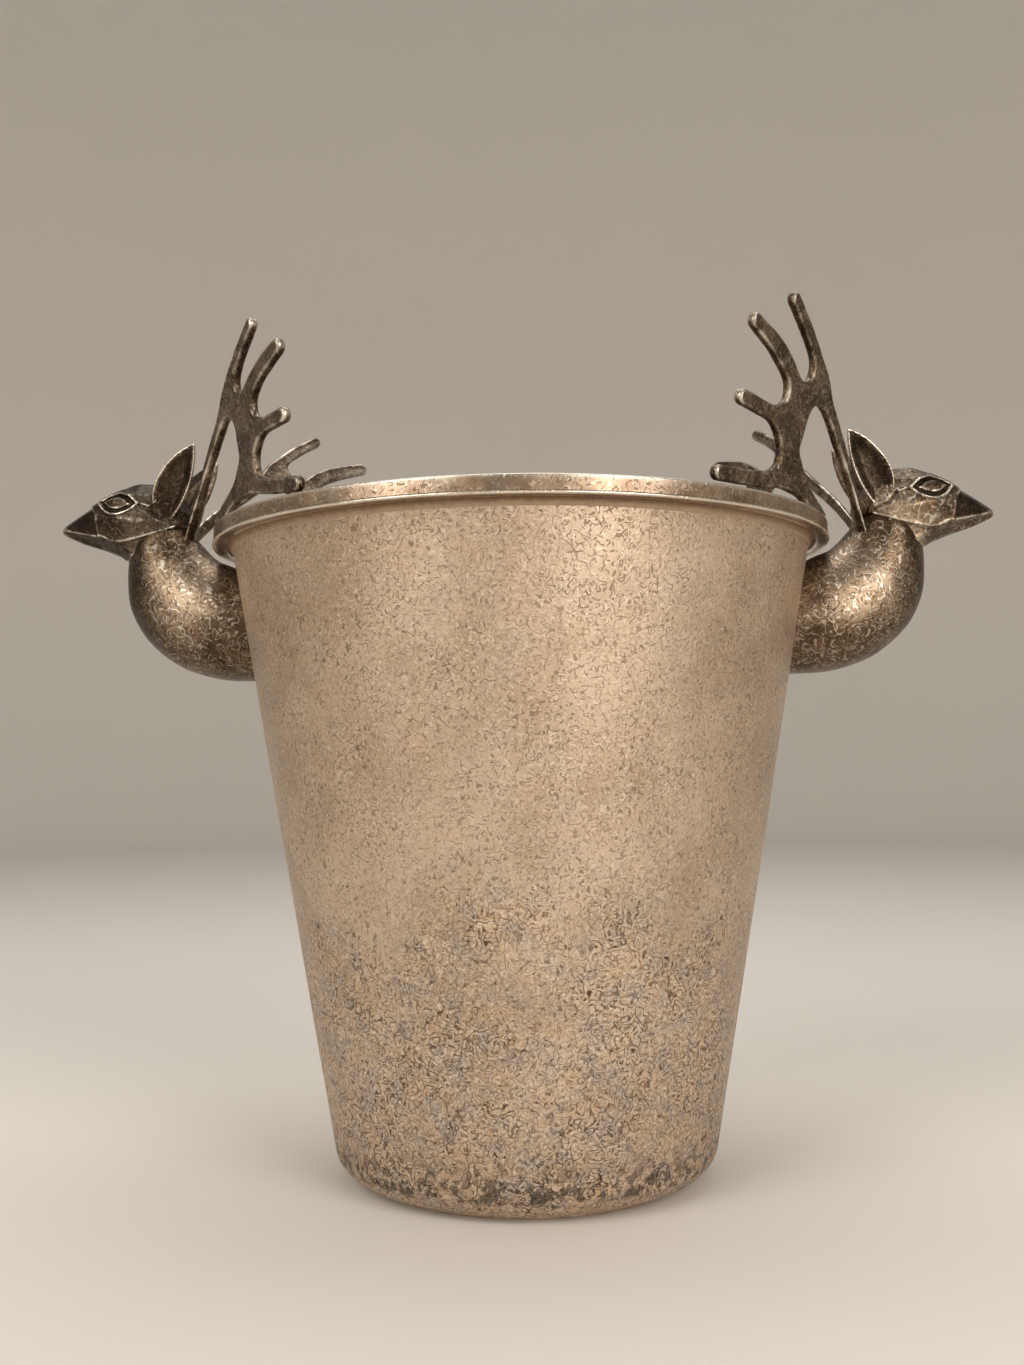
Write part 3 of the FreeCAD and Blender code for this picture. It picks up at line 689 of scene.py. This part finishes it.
# The lines are drawn in mm outwards from the rim's edge and up from its top.
EYE_POINTS = ((28.2, 12.9), ((31.6, 16.2), (36.2, 17.6), (40.6, 16.6)),
              (43.8, 14.2), ((40.6, 10.6), (36.4, 9.2), (31.8, 10.4)))
BALL_POINTS = ((31.4, 12.9), ((34.2, 14.9), (37.6, 15.2)), (41.0, 13.9), ((38.4, 11.9), (34.8, 11.5)))
CROWN = ((20.6, 20.4), (29.5, 22.4), (36.9, 18.4), (28.6, 13.6), (24.2, 11.7), (21.4, 13.6))
JAW_POINTS = ((15.4, 4.2), (25.5, 1.2), (33.2, -0.4), (38.4, -0.2), (42.6, 1.7), (46.6, 2.2),
              (57.1, 4.7))
SNOUT = ((47.0, 13.0), (44.6, 9.8), (43.8, 2.0))
BROW_POINTS = ((28.2, 12.9), (32.0, 17.4), (37.0, 19.2), (43.0, 16.6), (46.4, 13.4))
HEAD_VOXEL = 0.34 * MM
CAST_EDGES = 60           # degrees past which an edge of a casting stays sharp
LEFT_HEAD_DARKENING = 0.85          # the left-hand head is darkened all over
HEAD_DARK = (0.064, 0.042, 0.025, 1)
HEAD_LIGHT = (0.37, 0.28, 0.19, 1)
head_metal = finish("chased_casting", cast_skin(HEAD_DARK, HEAD_LIGHT, 0.5, 0.02), 0.92)


def through(points, steps=6):
    """Smooth curve through points."""
    return [tuple(p) for p in smooth_rows(points, steps)]


def almond(left, over, right, under):
    """Closed outline, pointed at both ends, from its corners and the points over and under."""
    return through((left,) + over + (right,))[:-1] + through((right,) + under + (left,))[:-1]


def gap_to_line(x, y, points, closed=False):
    """Distance from each place to a line of points."""
    points = [np.array(p, float) for p in points]
    ends = points[1:] + points[:1] if closed else points[1:]
    nearest = np.full(x.shape, 1e3)
    for a, b in zip(points, ends):
        run = b - a
        t = np.clip(((x - a[0]) * run[0] + (y - a[1]) * run[1]) / (run @ run), 0, 1)
        nearest = np.minimum(nearest, np.hypot(x - a[0] - t * run[0], y - a[1] - t * run[1]))
    return nearest


def within(x, y, points):
    """True inside a closed outline."""
    inside = np.zeros(x.shape, bool)
    for (ax, ay), (bx, by) in zip(points, points[1:] + points[:1]):
        crosses = (ay > y) != (by > y)
        inside ^= crosses & (x < (bx - ax) * (y - ay) / (by - ay + 1e-12) + ax)
    return inside


def ridge(gap, width):
    """Rounded ridge along a line: 1 on it, 0 beyond about twice its width."""
    return np.exp(-(gap / width) ** 2)


def softened(field, passes):
    """A field of distances, averaged with its neighbours to round its edges."""
    for _ in range(passes):
        for axis in range(3):
            before, after = np.roll(field, 1, axis), np.roll(field, -1, axis)
            field = 0.25 * before + 0.5 * field + 0.25 * after
    return field


def crossed(flat, thick):
    """Field of a plate from the distances past its outline and past its faces."""
    outside = np.hypot(np.maximum(flat, 0), np.maximum(thick, 0))
    return np.minimum(np.maximum(flat, thick), 0) + outside


def field_of(node, voxel):
    """Distances from a CAD piece's skin on a grid, in mm, with the places of the grid."""
    form = bmesh.new()
    form.from_mesh(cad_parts[node].data)
    bmesh.ops.remove_doubles(form, verts=form.verts, dist=1e-6)
    bmesh.ops.triangulate(form, faces=form.faces)
    points = np.array([v.co for v in form.verts], np.float32)
    corners = np.array([[v.index for v in f.verts] for f in form.faces], np.uint32)
    form.free()
    low, high = points.min(0) - 8 * voxel, points.max(0) + 8 * voxel
    shape = np.ceil((high - low) / voxel).astype(int)
    scale = openvdb.createLinearTransform(voxel)
    form = {"triangles": corners, "transform": scale, "halfWidth": 6.0}
    level = openvdb.FloatGrid.createLevelSetFromPolygons(points - low, **form)
    field = np.zeros(shape, np.float32)
    level.copyToArray(field)
    places = np.stack(np.meshgrid(*[low[k] + np.arange(shape[k]) * voxel for k in range(3)], indexing="ij"))
    return field / MM, places, low


def skin_of(name, field, low, voxel, metal):
    """Object whose surface is where a field of distances is 0."""
    grid = openvdb.FloatGrid(float(field.max()))
    grid.copyFromArray(np.ascontiguousarray(field, np.float32))
    points, corners = grid.convertToQuads(0.0)
    return mesh_piece(name, points * voxel + low, corners[:, ::-1], metal)


EYE, EYEBALL = almond(*EYE_POINTS), almond(*BALL_POINTS)
JAW, BROW = through(JAW_POINTS), through(BROW_POINTS)


def signed(x, y, outline):
    """Distance inside a closed outline; negative outside it."""
    return np.where(within(x, y, outline), 1, -1) * gap_to_line(x, y, outline, True)


def behind_snout(x, z):
    """How far a place lies outwards from the edge of the flat snout plane."""
    outs, ups = zip(*SNOUT[::-1])
    return x - np.interp(z, ups, outs)


def chased(x, y, z):
    """Relief of a head's side in mm. x is out and z up, in mm from the rim's edge and top."""
    eye, ball = signed(x, z, EYE), signed(x, z, EYEBALL)
    relief = 0.8 * ridge(eye, 0.5) + 0.55 * ridge(ball, 0.4)
    relief -= 0.5 * plateau(eye - 0.7, 0.8) * plateau(-ball - 0.3, 0.6)
    relief += 0.55 * plateau(ball - 0.5, 1.6)
    relief += 0.4 * ridge(gap_to_line(x, z, BROW), 0.55)
    crown = signed(x, z, CROWN)
    relief += 0.4 * plateau(crown, 0.7) + 0.4 * ridge(crown, 0.4)
    under = np.interp(x, *np.array(JAW).T)
    relief += 0.7 * ridge(gap_to_line(x, z, JAW), 0.45) - 0.6 * plateau(under - z, 0.8) * plateau(z + 4, 3)
    flat = behind_snout(x, z)
    relief += 0.5 * ridge(flat, 0.4) * (z > under) - 0.5 * plateau(flat, 0.9)
    relief -= 0.7 * ridge(gap_to_line(x, z, ((16.0, 6.0), (20.5, 8.0), (23.0, 11.0))), 0.8)
    relief += 0.5 * ridge(gap_to_line(x, z, ((27.0, 6.5), (33.0, 7.6), (40.0, 5.6))), 2.2)
    return relief * plateau(np.abs(y) - 2.2, 2.6)


def head_soot(out, up):
    """Where a head is blackened: the snout planes and the socket of the eye."""
    under = np.interp(out, *np.array(JAW).T)
    socket = plateau(signed(out, up, EYE) - 0.6, 0.6) * plateau(-signed(out, up, EYEBALL) + 0.2, 0.5)
    pupil = 0.75 * plateau(signed(out, up, EYEBALL) - 0.9, 0.8)
    flats = plateau(behind_snout(out, up) - 0.5, 0.8) * plateau(up - under - 0.6, 0.8)
    return np.maximum(np.maximum(flats, socket), pupil)


for side, sign in SIDES.items():
    field, (x, y, z), low = field_of(side + "_head", HEAD_VOXEL)
    out, up = sign * x / MM - rim_radius / MM, z / MM - rim_top / MM
    field = softened(field, 2) - chased(out, y / MM, up)
    head = skin_of(side + "_head_casting", softened(field, 1), low, HEAD_VOXEL, head_metal)
    tidy(head.data, CAST_EDGES)
    mark_bulge(head.data, 5, 0.1 * MM)
    out, _, up = places_of(head.data, sign)
    mark(head.data, "patina_and_shade", np.maximum(head_soot(out, up), LEFT_HEAD_DARKENING * (side == "left")))
    # painted highlight on the front of the cheek, where light falls
    mark_painted_highlight(head.data, (sign * (rim_radius + 27 * MM), -12 * MM, rim_top + 4 * MM), 13 * MM)
    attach(head, "root")
    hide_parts(side + "_head")

# ---- ears ----------------------------------------------------------------
# Long leaves, cast separately, hollowed on the outer face and soldered behind the brow. The
# hollow is nearly black and the thin rim is rubbed bright.
EAR_BACK = ((17.0, 6.2), (13.0, 11.0), (9.0, 18.2), (6.6, 26.2), (5.9, 33.6))
EAR_FRONT = ((5.9, 33.6), (11.9, 30.8), (17.9, 25.4), (21.7, 19.4), (22.7, 12.8), (20.4, 6.6))
EAR_VOXEL = 0.28          # mm
EAR_SHEET = 1.7           # thickness in the hollow, mm
EAR_ROUND = 0.45          # rounding of the leaf's edge, mm
EAR_CUP = 2.6             # how far the leaf's middle is pushed in towards the head
EAR_MIDDLE = 10.6         # from the bucket's middle plane to the leaf's foot
EAR_LEAN = 0.23           # outwards per mm of rise
ear_metal = finish("ear_casting", cast_skin(HEAD_DARK, HEAD_LIGHT, 0.35, 0.03), 0.92)
leaf = through(EAR_BACK)[:-1] + through(EAR_FRONT)[:-1]
ear_ticks = [np.arange(low, high, EAR_VOXEL) for low, high in ((4, 25), (4, 22), (4, 36))]
out, across, up = np.meshgrid(*ear_ticks, indexing="ij")
depth = signed(out[:, 0], up[:, 0], leaf)[:, None, :]
cup_line = EAR_CUP * plateau(depth - 2.0, 5.4)
off_sheet = np.abs(across - EAR_MIDDLE - EAR_LEAN * (up - 9.5) + cup_line) - EAR_SHEET / 2
flat, thick = EAR_ROUND - depth, off_sheet + EAR_ROUND
leaf_field = softened(crossed(flat, thick) - EAR_ROUND, 1)

for side, sign in SIDES.items():
    for face, turn in FACES.items():
        node = side + "_" + face + "_ear"
        start = np.array([ticks[0] for ticks in ear_ticks])
        ear = skin_of(node + "_leaf", leaf_field, start, EAR_VOXEL, ear_metal)
        scale = Matrix.Diagonal((sign * MM, turn * MM, MM, 1))
        ear.data.transform(Matrix.Translation((sign * rim_radius, 0, rim_top)) @ scale)
        tidy(ear.data, CAST_EDGES)
        mark_bulge(ear.data, 6, 0.1 * MM)
        out, across, up = places_of(ear.data, sign)
        inner = signed(out, up, leaf)
        outer = turn * across > EAR_MIDDLE - EAR_CUP * 2
        mark(ear.data, "patina_and_shade", 0.8 * plateau(inner - 1.2, 1.6) * outer)
        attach(ear, "root")
        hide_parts(node)

# ---- antlers -------------------------------------------------------------
# Flat sand castings, bent a little and pinned into the neck at the root and into the rim at
# the foot. Faces are dished and dark, edges are bare metal, and the gaps between the tines
# are smooth round throats.

# Chains of (across, up, half width) in mm.
THICK = 3.4
BEAM = ((-9.0, -10.4, 1.9), (8.0, 9.6, 1.9), (25.4, 26.8, 2.2), (38.0, 39.6, 2.8),
        (43.4, 47.4, 2.3), (51.4, 55.0, 2.2), (61.2, 62.6, 2.1))
PALM = ((25.4, -3.2, 2.5), (37.8, 3.8, 2.7), (46.4, 8.6, 3.4), (51.2, 15.0, 4.4),
        (51.6, 22.4, 4.7), (49.4, 30.0, 3.9), (40.4, 38.6, 2.8))
TINES = (
    ((50.4, 30.0, 3.7), (56.6, 39.4, 3.2), (66.8, 46.2, 3.0), (80.2, 51.6, 2.5)),
    ((52.6, 22.8, 3.6), (63.6, 25.8, 2.6), (80.8, 28.0, 2.5)),
    ((47.6, 8.8, 3.0), (59.6, 5.4, 2.7), (74.4, 4.2, 2.6), (87.2, 3.6, 2.5)),
)
# (side, face): root out, off the middle, up; sweep, lean, pitch in degrees; reach, rise
ANTLERS = {
    ("right", "front"): ((10.6, 9.9, 2.3), 49.4, 12.2, 0.0, 1.0, 1.0),
    ("left", "front"): ((6.4, 11.7, 9.1), 52.3, 7.2, -5.0, 0.94, 0.905),
    ("right", "back"): ((10.0, 11.0, 6.6), 52.5, 25.0, -4.6, 1.03, 0.925),
    ("left", "back"): ((13.0, 11.2, 4.2), 41.0, 28.5, -2.6, 1.05, 0.97),
}
ANTLER_VOXEL = 0.42       # mm
THROAT = 9.0              # mm over which two bars run into each other
FACE_DISH = 0.25
EDGE_ROUND = 1.0
BEAM_TWIST = 40.0         # degrees at the root; the beam lies flat from the fork on
ROOT_CLEARANCE = 3.0

ANTLER_DARK = (0.075, 0.050, 0.031, 1)
ANTLER_LIGHT = (0.36, 0.275, 0.19, 1)
antler_metal = finish("antler_casting", cast_skin(ANTLER_DARK, ANTLER_LIGHT, 0.4, -0.02), 0.94)


def bar_edge(x, y, chain):
    """Distance in the plate's plane from the edge of a bar that follows a chain."""
    nearest = np.full(x.shape, 1e3)
    for (ax, ay, ar), (bx, by, br) in zip(chain, chain[1:]):
        run = np.array((bx - ax, by - ay))
        t = np.clip(((x - ax) * run[0] + (y - ay) * run[1]) / (run @ run), 0, 1)
        gap = np.hypot(x - ax - t * run[0], y - ay - t * run[1])
        nearest = np.minimum(nearest, gap - ar - (br - ar) * t)
    return nearest


def joined(one, two, reach):
    """Two outlines run into each other with a rounded throat."""
    close = np.maximum(reach - np.abs(one - two), 0) / reach
    return np.minimum(one, two) - close * close * reach / 4


def turned_on_edge(x, y, root, fork, turn):
    """Where the plate's middle lies as the beam turns on edge towards its root, and the tilt."""
    run = np.array(fork[:2]) - root[:2]
    length = np.linalg.norm(run)
    along = ((x - root[0]) * run[0] + (y - root[1]) * run[1]) / length ** 2
    aside = ((y - root[1]) * run[0] - (x - root[0]) * run[1]) / length
    near_root = (1 - plateau(along - 0.55, 0.8)) * plateau(6.0 - np.abs(aside), 3.0)
    tilt = radians(turn * BEAM_TWIST) * near_root
    return np.clip(aside, -4.5, 4.5) * np.tan(tilt), np.cos(tilt)


def antler_axes(sign, turn, root, sweep, lean, pitch):
    """Where an antler's root stands and its directions across, up and through."""
    sweep, lean, pitch = radians(sweep), radians(lean), radians(pitch)
    level = np.array((-sign * cos(sweep), turn * sin(sweep), 0))
    outward = np.array((sign * sin(sweep), turn * cos(sweep), 0))
    rise = np.array((0, 0, cos(lean))) + outward * sin(lean)
    across = level * cos(pitch) + rise * sin(pitch)
    up = rise * cos(pitch) - level * sin(pitch)
    out, off, above = root
    place = np.array((sign * (rim_radius / MM + out), turn * off, rim_top / MM + above))
    return place, np.array((across, up, np.cross(across, up)))


for (side, face), (root, sweep, lean, pitch, reach, climb) in ANTLERS.items():
    place, axes = antler_axes(SIDES[side], FACES[face], root, sweep, lean, pitch)
    chains = [[(a * reach, u * climb, h) for a, u, h in chain] for chain in (BEAM, PALM) + TINES]
    drawn = np.array([p for chain in chains for p in chain])
    low = np.append(drawn.min(0)[:2] - 6, -4.5)
    high = np.append(drawn.max(0)[:2] + 6, 4.5)
    ticks = [np.arange(low[k], high[k], ANTLER_VOXEL) for k in range(3)]
    x, y, z = np.meshgrid(*ticks, indexing="ij")
    edges = [bar_edge(x[:, :, 0], y[:, :, 0], smooth_rows(chain, 5)) for chain in chains]
    level = edges[1]
    for other in edges[2:] + edges[:1]:
        level = joined(level, other, THROAT)
    turn = -SIDES[side] * FACES[face]
    middle, narrow = turned_on_edge(x[:, :, 0], y[:, :, 0], chains[0][0], chains[0][2], turn)
    dish = FACE_DISH * plateau(-level - 1.3, 1.2)
    flat = (level + EDGE_ROUND)[:, :, None]
    thick = np.abs(z - middle[:, :, None]) * narrow[:, :, None]
    thick += (dish - THICK / 2 + EDGE_ROUND)[:, :, None]
    field = crossed(flat, thick) - EDGE_ROUND
    spot = place[:, None, None, None] + np.einsum("iabc,ik->kabc", np.stack((x, y, z)), axes)
    over_rim = np.hypot(spot[0], spot[1]) < rim_radius / MM + ROOT_CLEARANCE
    trimmed = np.maximum(field, rim_top / MM + 0.05 - spot[2])
    field = np.where(over_rim, trimmed, field)
    node = "_".join((side, face, "antler"))
    piece = skin_of(node + "_casting", softened(field, 1), low, ANTLER_VOXEL, antler_metal)
    turn_to = Matrix([[*(axes[:, k] * MM), place[k] * MM] for k in range(3)] + [[0, 0, 0, 1]])
    piece.data.transform(turn_to)
    tidy(piece.data, CAST_EDGES)
    uneven(piece.data, 0.18 * MM, 6 * MM, 7.0)
    mark_bulge(piece.data, 5, 0.15 * MM)
    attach(piece, "root")
    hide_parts(node)

# ---- backing plates, washers, dowels and pins ----------------------------
# Plain turned and sawn fittings, kept as they are drawn: nickel-plated steel, bright where
# they were machined, greyed by ice water.


def plated_skin(graph, place):
    """Nickel plate: smooth, with water marks and faint brushing."""
    cloud = graph.noise(place, 6 * MM, 4.0, 0.6)
    brushed = graph.noise(place, 0.8 * MM, 2.0, 0.7)
    colour = graph.blend(PLATE_GREY, BRIGHT, graph.step(cloud, 0.35, 0.7) * 0.6)
    marks = graph.rings(place, 5 * MM, 0.32, 0.07, 0.35)
    colour = graph.blend(colour, UMBER, marks * 0.35)
    return colour, 0.26 + cloud * 0.2 + marks * 0.1, graph.bumped(brushed, 0.02 * MM)


PLATE_GREY = (0.42, 0.40, 0.37, 1)
plated = finish("nickel_plate", plated_skin, 1.0)
PLATED = ("right_backing_plate", "left_backing_plate", "head_dowels", "antler_root_pins",
          "antler_foot_pins")


def coat(node, metal):
    """Gives a CAD piece, kept as it is, one finish."""
    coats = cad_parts[node].data.materials
    coats.clear()
    coats.append(metal)


for node in PLATED:
    coat(node, plated)


def fibre_skin(graph, place):
    """Vulcanised fibre: dull brick red, swollen and stained by water."""
    cloud = graph.noise(place, 2 * MM, 4.0, 0.7)
    colour = graph.blend(BRICK_DARK, BRICK, graph.step(cloud, 0.35, 0.7))
    return colour, 0.6 + cloud * 0.2, graph.bumped(cloud, 0.1 * MM)


BRICK_DARK = (0.16, 0.05, 0.03, 1)
BRICK = (0.26, 0.1, 0.06, 1)
coat("sealing_washers", finish("sealing_fibre", fibre_skin, 0.0))

# ---- handle screws -------------------------------------------------------
# Four slotted pan-head screws of plated brass, put in from inside the bucket, two to a
# handle, one above the other. They are the same turned part, set square to the wall.
SCREW_DROPS = (41.5 * MM, 21.5 * MM)    # below the rim's top, where each meets the wall
SCREW_SEAT = 5.8 * MM         # from the wall's outer face in to the head
SCREW_REACH = 11.0 * MM       # from the wall's outer face out into the neck
HEAD_RADIUS, HEAD_HEIGHT, SHANK_RADIUS, CHAMFER = 4.6 * MM, 2.6 * MM, 2.5 * MM, 0.4 * MM
SLOT_WIDTH, SLOT_DEPTH = 1.1 * MM, 1.2 * MM
SAW_LENGTH = 20 * MM


def screws_tree():
    """Geometry Nodes that saw a slot across a blank and set a copy on each point along aim."""
    sockets = {"Geometry": "Geometry", "Blank": "Object", "Slot Width": "Float", "Slot Depth": "Float",
               "Head": "Float", "Metal": "Material"}
    tree, keys, graph = node_group("screws", sockets)
    given = graph.add("NodeGroupInput", out="Geometry")
    blank = graph.add("GeometryNodeObjectInfo", {}, {"Object": given.out("Blank")}, "Geometry")
    deep = given.out("Slot Depth") * 2
    cut = graph.add("ShaderNodeCombineXYZ", {}, {"X": given.out("Slot Width"), "Y": SAW_LENGTH, "Z": deep})
    saw = graph.add("GeometryNodeMeshCube", {}, {"Size": cut})
    place = graph.add("ShaderNodeCombineXYZ", {}, {"Z": given.out("Head")})
    saw = graph.add("GeometryNodeSetPosition", {}, {"Geometry": saw, "Offset": place})
    screw = graph.add("GeometryNodeMeshBoolean", {"operation": "DIFFERENCE", "solver": "EXACT"},
                      {0: blank, 1: saw})
    aim = graph.add("GeometryNodeInputNamedAttribute", {"data_type": "FLOAT_VECTOR"}, {"Name": "aim"})
    stand = graph.add("FunctionNodeAlignRotationToVector", {"axis": "Z"}, {"Vector": aim})
    turn = graph.add("FunctionNodeRandomValue", {"data_type": "FLOAT"}, {"Max": 3.0, "Seed": 5}, 1)
    spin = graph.add("ShaderNodeCombineXYZ", {}, {"Z": turn})
    stand = graph.add("FunctionNodeRotateRotation", {"rotation_space": "LOCAL"}, {0: stand, 1: spin})
    links = {"Points": given, "Instance": screw, "Rotation": stand}
    form = graph.add("GeometryNodeInstanceOnPoints", {}, links)
    close_group(graph, form, given.out("Metal"))
    return tree, keys


crown = (HEAD_RADIUS - HEAD_HEIGHT / 2, HEAD_HEIGHT / 2)
tip = -SCREW_SEAT - SCREW_REACH
shank = [(0, tip), (SHANK_RADIUS - CHAMFER, tip), (SHANK_RADIUS, tip + CHAMFER), (SHANK_RADIUS, 0)]
head_points = [(HEAD_RADIUS, 0)] + arc(crown, HEAD_HEIGHT / 2, 0, 90, 10) + [(0, HEAD_HEIGHT)]
blank = turned("screw_blank", shank + head_points, plated, 64)
inward = Vector((-cos(TILT), 0, sin(TILT)))
spots, aims = [], []
for sign in SIDES.values():
    for drop in SCREW_DROPS:
        seat = Vector((wall_radius(rim_top - drop), 0, rim_top - drop)) + inward * SCREW_SEAT
        spots.append((sign * seat.x, 0, seat.z))
        aims += [sign * inward.x, 0, inward.z]
seats = mesh_piece("screw_seats", spots, [], plated)
seats.data.attributes.new("aim", "FLOAT_VECTOR", "POINT").data.foreach_set("vector", aims)
SCREWS, SCREW_KEYS = screws_tree()
rack = seats.modifiers.new("screws", "NODES")
rack.node_group = SCREWS
inputs = {"Blank": blank, "Slot Width": SLOT_WIDTH, "Slot Depth": SLOT_DEPTH, "Head": HEAD_HEIGHT,
          "Metal": plated}
for label, value in inputs.items():
    rack[SCREW_KEYS[label]] = value
screws = plain_mesh(seats, "slotted_screws")
bpy.data.objects.remove(blank)
tidy(screws.data, TURNED_EDGES)
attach(screws, "root")
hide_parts("handle_screws")

# ---- floor, light and camera ---------------------------------------------
# A pale seamless bowl under soft boxes; it is not part of the object.


def paper_skin(graph, place):
    """Matt background paper."""
    cloud = graph.noise(place, 0.4, 2.0)
    return graph.blend(PAPER, PAPER_SHADE, cloud), 0.9, graph.bumped(cloud, 0.0)


PAPER = (0.84, 0.80, 0.745, 1)
PAPER_SHADE = (0.81, 0.77, 0.715, 1)
paper = finish("background_paper", paper_skin, 0.0)
BOWL_FLOOR, BOWL_SWEEP, BOWL_WALL = 2.2, 0.8, 3.2
bowl_points = [(0, 0), (0.4, 0), (BOWL_FLOOR, 0)] + arc((BOWL_FLOOR, BOWL_SWEEP), BOWL_SWEEP, -90, 0, 16)
bowl_top = bowl_points[-1][0]
bowl_points += [(bowl_top, BOWL_WALL), (bowl_top + 0.02, BOWL_WALL), (bowl_top + 0.02, -0.02), (0, -0.02)]
bowl = turned("background_bowl", bowl_points, paper, 96)
bowl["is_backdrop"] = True


def soft_box(name, place, width, height, power, tint):
    """Rectangular lamp that faces the middle of the object; power in watts."""
    lamp = bpy.data.lights.new(name, "AREA")
    lamp.shape, lamp.size, lamp.size_y = "RECTANGLE", width, height
    lamp.energy, lamp.color = power, tint
    stand = bpy.data.objects.new(name, lamp)
    aim = (MIDDLE - Vector(place)).to_track_quat("-Z", "Y")
    stand.matrix_world = Matrix.Translation(place) @ aim.to_matrix().to_4x4()
    bpy.context.scene.collection.objects.link(stand)


MIDDLE = Vector((0, 0, 0.13))
soft_box("key", (-1.0, -1.2, 0.95), 0.9, 1.4, 13.5, (1, 0.97, 0.93))
soft_box("fill", (0.95, -1.25, 0.65), 0.8, 1.3, 14.5, (1, 0.96, 0.92))
soft_box("front", (0.3, -1.7, 0.25), 0.8, 0.5, 2, (1, 0.96, 0.92))
soft_box("top", (0.05, 0.3, 1.6), 1.3, 1.0, 9, (1, 0.98, 0.95))

world = bpy.data.worlds.new("studio")
bpy.context.scene.world = world
world.use_nodes = True
world.node_tree.nodes["Background"].inputs["Color"].default_value = (1, 0.97, 0.93, 1)
world.node_tree.nodes["Background"].inputs["Strength"].default_value = 0.27

CAMERA_PLACE = (22.56 * MM, -498.35 * MM, 141.08 * MM)
PAN, RISE, ROLL = radians(3.0), radians(3.64), radians(0.60)
ahead = Vector((-sin(PAN) * cos(RISE), cos(PAN) * cos(RISE), sin(RISE)))
level = Vector((cos(PAN), sin(PAN), 0))
upright = level.cross(ahead)
right = level * cos(ROLL) - upright * sin(ROLL)
above = level * sin(ROLL) + upright * cos(ROLL)
lens = bpy.data.cameras.new("camera")
lens.sensor_width, lens.lens = 36.0, 36.35
camera = bpy.data.objects.new("camera", lens)
rows = [[right[k], above[k], -ahead[k], CAMERA_PLACE[k]] for k in range(3)]
camera.matrix_world = Matrix(rows + [[0, 0, 0, 1]])
bpy.context.scene.collection.objects.link(camera)
bpy.context.scene.camera = camera
bpy.context.scene.view_settings.view_transform = "Standard"

bpy.context.view_layer.update()
low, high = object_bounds()
